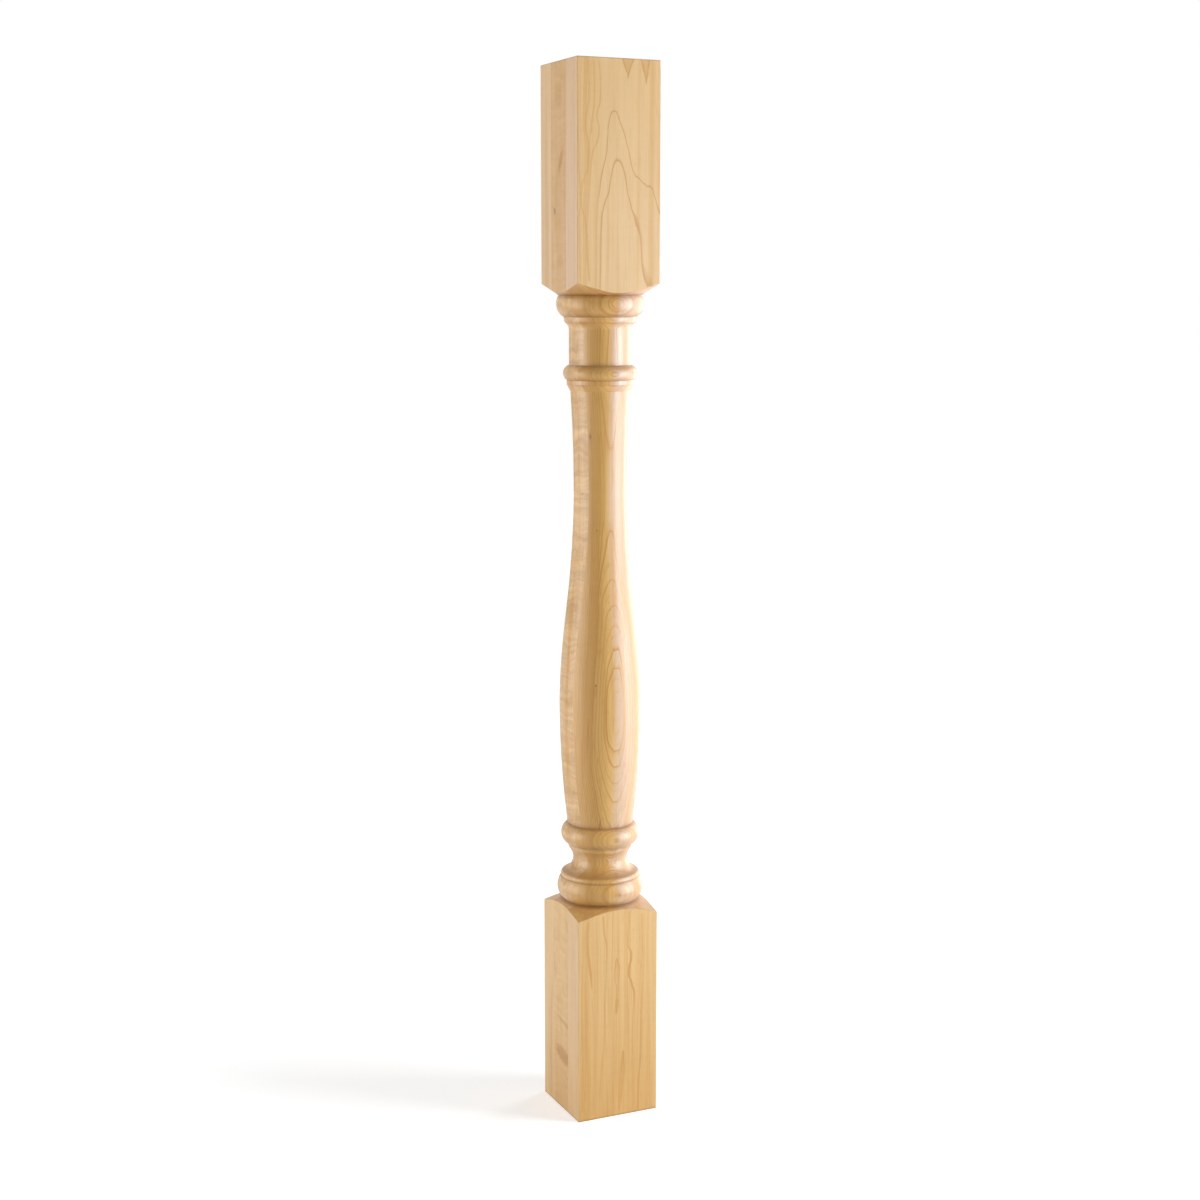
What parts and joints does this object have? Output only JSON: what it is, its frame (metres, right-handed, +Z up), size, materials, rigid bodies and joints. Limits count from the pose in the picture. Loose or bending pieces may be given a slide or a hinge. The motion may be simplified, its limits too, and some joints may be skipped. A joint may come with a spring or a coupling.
{
  "type": "turned wooden post",
  "caption": "Square wooden stair post turned between its ends: beads, cove and collar around a long vase-shaped taper.",
  "frame": {"origin": "middle of the bottom end face", "axes": "+Z up the post along the turning axis; block faces square to X and Y, front face towards -Y"},
  "size_m": [0.0888, 0.0888, 1.0668],
  "materials": {
    "maple": "smooth sanded hard maple with a thin satin coat"
  },
  "bodies": {
    "root": {"turned_post": "maple"}
  },
  "joints": []
}
